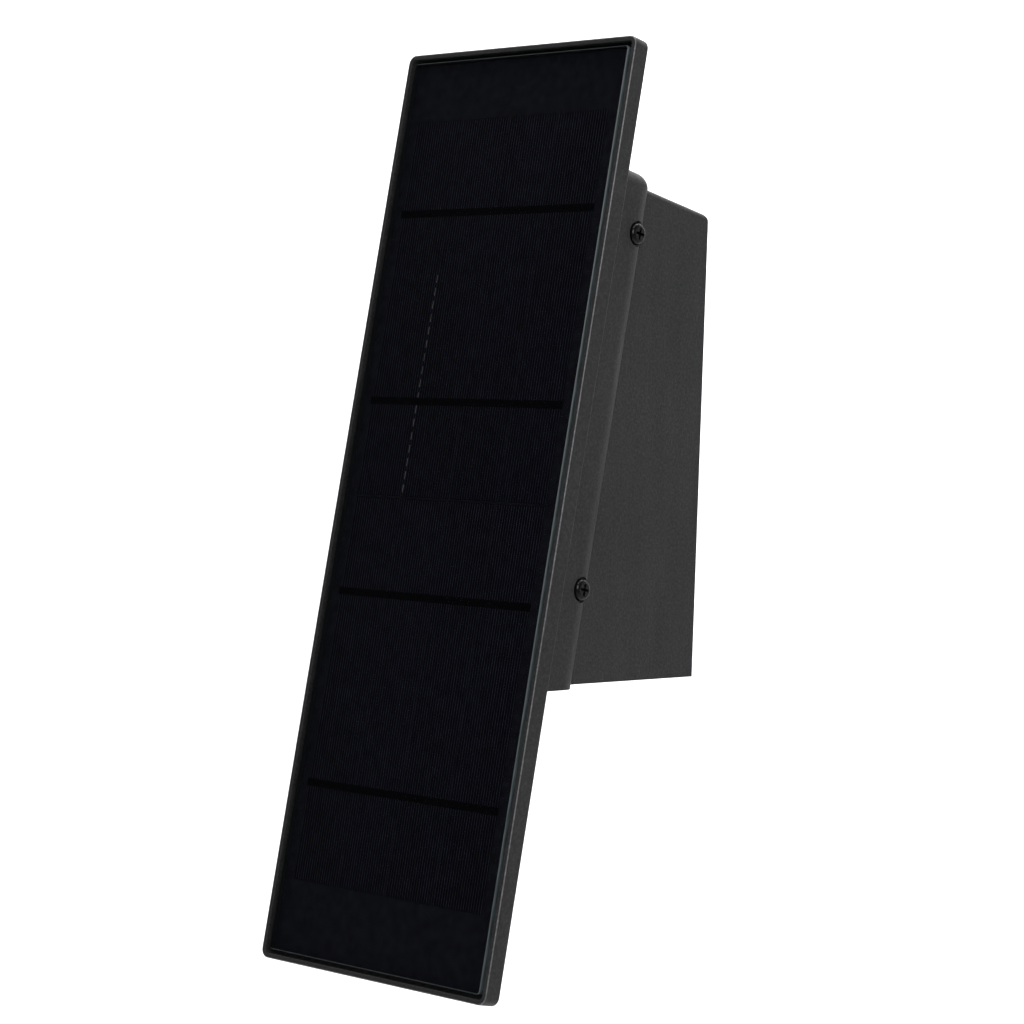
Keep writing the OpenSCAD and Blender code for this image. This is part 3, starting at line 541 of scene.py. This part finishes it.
def build_back_print():
    """Black sheet that shows round the strips, right up to the pane's edge."""
    inset = RIM_W + GROOVE + 0.25 * MM
    corner = 1 * MM
    profile = [(0, CELLS_DEPTH + 0.5 * MM), (0, CELLS_DEPTH + 0.2 * MM)]
    bm = bmesh.new()
    ring_loft(bm, PANEL_W - 2 * inset, PANEL_L - 2 * inset, corner, profile)
    place_on_panel("back_print", bm, [MATERIALS["black_sheet"]], "black_sheet", "cell_backsheet")


def build_tapes():
    """Black tapes that cross the strips over their ribbons, two in each row."""
    corner, proud, overhang = 0.2 * MM, 0.05 * MM, 0.3 * MM
    length = STRIPS_PER_ROW * CELL_PITCH + 2 * overhang
    profile = [(0, CELLS_DEPTH), (LAYER_CHAMFER, CELLS_DEPTH - proud)]
    bm = bmesh.new()
    for row in (-0.5, 0.5):
        for side in (-1, 1):
            rise = ARRAY_RISE + row * ROW_PITCH + side * CELL_L / 4
            ring_loft(bm, length, TAPE_W, corner, profile, at=(ARRAY_X, rise))
    place_on_panel("ribbon_tapes", bm, [MATERIALS["black_tape"]], "black_tape", "busbar_tapes")


def build_ribbon_stitch():
    """Soldered dots that show in the gap between the first two upper strips."""
    dots, pitch, first = 17, 4.4 * MM, 2.5 * MM
    width, length, corner = 0.22 * MM, 2.6 * MM, 0.08 * MM
    profile = [(0, CELLS_DEPTH + 0.1 * MM), (0.04 * MM, CELLS_DEPTH)]
    bm = bmesh.new()
    for k in range(dots):
        ring_loft(bm, width, length, corner, profile, at=(ARRAY_X - CELL_PITCH, first + (k + 0.5) * pitch))
    place_on_panel("ribbon_stitch", bm, [SOLDER], "solar_silicon")


# ---------------------------------------------------------------- collar

def build_collar():
    """Collar with its rear edge rounded right round its upper corners, where CAD has two crossing curves."""
    source = frame["nodes"]["front_collar"]
    points = [PANEL.inverted() @ v.co for v in source.data.vertices]
    half_w, high, end = (max(p[axis] for p in points) for axis in (0, 2, 1))
    below = 10 * MM
    low = min(p.z for p in points) - below
    corner, band = 5 * MM, 4.5 * MM
    drop_x, drop_z = 2.3 * MM, 2.9 * MM
    quarter_band = [math.radians(9 * k) for k in range(11)]
    quarter_corner = [math.radians(11.25 * k) for k in range(9)]
    sections = [(0, 0)] + [(end - band * (1 - math.sin(a)), 1 - math.cos(a)) for a in quarter_band]
    bm = bmesh.new()
    rings = []
    for depth, shrink in sections:
        w, top, r = half_w - drop_x * shrink, high - drop_z * shrink, corner - drop_x * shrink
        arc = [(w - r + r * math.cos(a), top - r + r * math.sin(a)) for a in quarter_corner]
        outline = [(w, low)] + arc + [(-x, z) for x, z in reversed(arc)] + [(-w, low)]
        rings.append([bm.verts.new(PANEL @ Vector((x, depth, z))) for x, z in outline])
    for a, b in zip(rings, rings[1:]):
        for i in range(len(a)):
            bm.faces.new((a[i], a[i - 1], b[i - 1], b[i]))
    bm.faces.new(rings[0])
    bm.faces.new(rings[-1][::-1])
    limit = make_object("collar_limit", bm, [])
    body = bpy.data.objects.new("collar_body", source.data.copy())
    scene.collection.objects.link(body)
    cut = body.modifiers.new("limit", "BOOLEAN")
    cut.operation, cut.solver, cut.object = "INTERSECT", "EXACT", limit
    mesh = bpy.data.meshes.new_from_object(body.evaluated_get(bpy.context.evaluated_depsgraph_get()))
    for spare in (body, limit):
        bpy.data.objects.remove(spare)
    soften("front_collar", 0.3 * MM, mesh=mesh)


# ---------------------------------------------------------------- motion sensor's lens

def build_motion_lens():
    """Dome moulded as a mosaic of small lenses, each with a ridge round it."""
    low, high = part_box("motion_lens")
    middle = (low + high) / 2
    flange_r, dome_r = (high.x - low.x) / 2, 6 * MM
    flange_z, top_z = 1.5 * MM, 2.2 * MM
    inside_cad = 0.985
    centre = Vector((middle.x, middle.y, low.z + dome_r))
    bm = bmesh.new()
    bmesh.ops.create_icosphere(bm, subdivisions=2, radius=dome_r * inside_cad)
    bmesh.ops.bisect_plane(bm, geom=bm.verts[:] + bm.edges[:] + bm.faces[:], plane_co=(0, 0, 0),
                           plane_no=(0, 0, 1), clear_outer=True)
    bmesh.ops.inset_individual(bm, faces=bm.faces[:], thickness=0.16 * MM, depth=-0.12 * MM)
    rim = [e for e in bm.edges if e.is_boundary]
    for step_r, step_z in ((dome_r, 0), (dome_r, flange_z), (flange_r, flange_z), (flange_r, top_z)):
        grown = bmesh.ops.extrude_edge_only(bm, edges=rim)["geom"]
        rim = [g for g in grown if isinstance(g, bmesh.types.BMEdge)]
        for v in {v for e in rim for v in e.verts}:
            flat = Vector((v.co.x, v.co.y, 0)).normalized() * step_r
            v.co = (flat.x, flat.y, step_z)
    bmesh.ops.holes_fill(bm, edges=rim, sides=0)
    bmesh.ops.translate(bm, verts=bm.verts, vec=centre)
    made = make_object("motion_dome", bm, [MATERIALS["motion_white"]])
    place(made, "case", "motion_white", "motion_lens")


# ---------------------------------------------------------------- everything the frame already shapes

# Pieces whose sharp edges are rounded, with the rounding's width in millimetres.
SOFTENED = {
    "wall_box": 0.45, "base_plate": 0.22, "port_flap": 0.2, "power_button": 0.35, "pairing_button": 0.35,
    "case_screws": 0.16, "base_screws": 0.12, "turret_shell": 0.25, "turret_window": 0.15,
    "turret_cap": 0.25, "light_pipe": 0.15, "lens_barrel": 0.15, "charging_socket": 0.12,
    "card_socket": 0.08, "case_gasket": 0.15, "microphone": 0.1, "infrared_lights": 0.3,
    "battery_tray": 0.4, "battery_strap": 0.25, "battery_cells": 0.5, "solar_terminal": 0.4,
    "processor_shield": 0.3, "axle_brackets": 0.3,
}


def finish_cad_nodes():
    """Gives every CAD node its own slot's material, and softened edges to those listed."""
    for name, node in frame["nodes"].items():
        node.data.materials.clear()
        node.data.materials.append(MATERIALS[slot_of(name)])
        if name in SOFTENED:
            soften(name, SOFTENED[name] * MM)


# ---------------------------------------------------------------- camera, light and floor

def build_camera():
    """Camera at the photograph's viewing angle, about 0.93 m away, in front of the panel and to its right."""
    yaw, pitch, roll = 0.7381346, 0.0285621, 0.0341691
    standpoint = (0.60693, -0.70970, 0.00269)
    focal_mm, sensor_mm = 96.45, 36
    forward = Vector((-math.sin(yaw) * math.cos(pitch), math.cos(yaw) * math.cos(pitch), -math.sin(pitch)))
    right = Vector((math.cos(yaw), math.sin(yaw), 0))
    up = right.cross(forward)
    turned_right = math.cos(roll) * right + math.sin(roll) * up
    turned_up = -math.sin(roll) * right + math.cos(roll) * up
    data = bpy.data.cameras.new("camera")
    data.lens = focal_mm
    data.sensor_width = sensor_mm
    made = bpy.data.objects.new("camera", data)
    scene.collection.objects.link(made)
    axes = Matrix((turned_right, turned_up, -forward)).transposed().to_4x4()
    made.matrix_world = Matrix.Translation(standpoint) @ axes
    scene.camera = made


def soft_light(name, location, target, size, power):
    data = bpy.data.lights.new(name, "AREA")
    data.shape = "RECTANGLE"
    data.size, data.size_y = size
    data.energy = power
    made = bpy.data.objects.new(name, data)
    made.location = location
    made.rotation_euler = (Vector(target) - Vector(location)).to_track_quat("-Z", "Y").to_euler()
    scene.collection.objects.link(made)


def build_stage():
    """Pale floor, far enough down to see the part from underneath, that sweeps up into a pale backdrop. The key
    light stands on the right and a weaker one above, and two at the back left brighten backdrop and floor."""
    low, _ = cad_box
    floor_z = low[2] - 0.9
    depth, reach, radius, height = 1.9, 6.0, 0.9, 4
    sweep_steps = 12
    profile = [(-reach, floor_z), (depth - radius, floor_z)]
    for k in range(1, sweep_steps + 1):
        a = math.pi / 2 * k / sweep_steps
        profile.append((depth - radius + radius * math.sin(a), floor_z + radius * (1 - math.cos(a))))
    profile.append((depth, floor_z + height))
    bm = bmesh.new()
    rows = [[bm.verts.new((x, y, z)) for x in (-reach, reach)] for y, z in profile]
    for a, b in zip(rows, rows[1:]):
        bm.faces.new((a[0], a[1], b[1], b[0]))
    paper = Shader("paper", (0.86, 0.86, 0.86), 0.9, Specular_IOR_Level=0.1)
    cloud = paper.ramp(paper.noise(200 * MM), 0, 1, 0.3, 0.7)
    paper.paint(paper.mix(cloud, (0.85, 0.85, 0.85), (0.88, 0.88, 0.88)))
    make_object("backdrop", bm, [paper.material])
    world = bpy.data.worlds.new("studio")
    world.use_nodes = True
    world.node_tree.nodes["Background"].inputs["Color"].default_value = (1, 1, 1, 1)
    world.node_tree.nodes["Background"].inputs["Strength"].default_value = 0.32
    scene.world = world
    soft_light("key_right", (1.15, -1.0, 0.6), (0, 0, 0), (0.7, 0.7), 13)
    soft_light("top", (0.3, -0.5, 1.3), (0, 0, 0), (0.9, 0.6), 6)
    soft_light("backdrop_wash", (-1.1, 0.5, 1.7), (-1.6, 1.9, 0.2), (3.4, 0.8), 80)
    soft_light("floor_wash", (-1.0, 0.4, 1.9), (-1.2, 1.2, -0.7), (3.4, 1.2), 60)


build_camera()
build_stage()
build_panel_frame()
build_cover_glass()
build_solar_strips()
build_cell_fingers()
build_back_print()
build_tapes()
build_ribbon_stitch()
build_collar()
build_motion_lens()
finish_cad_nodes()
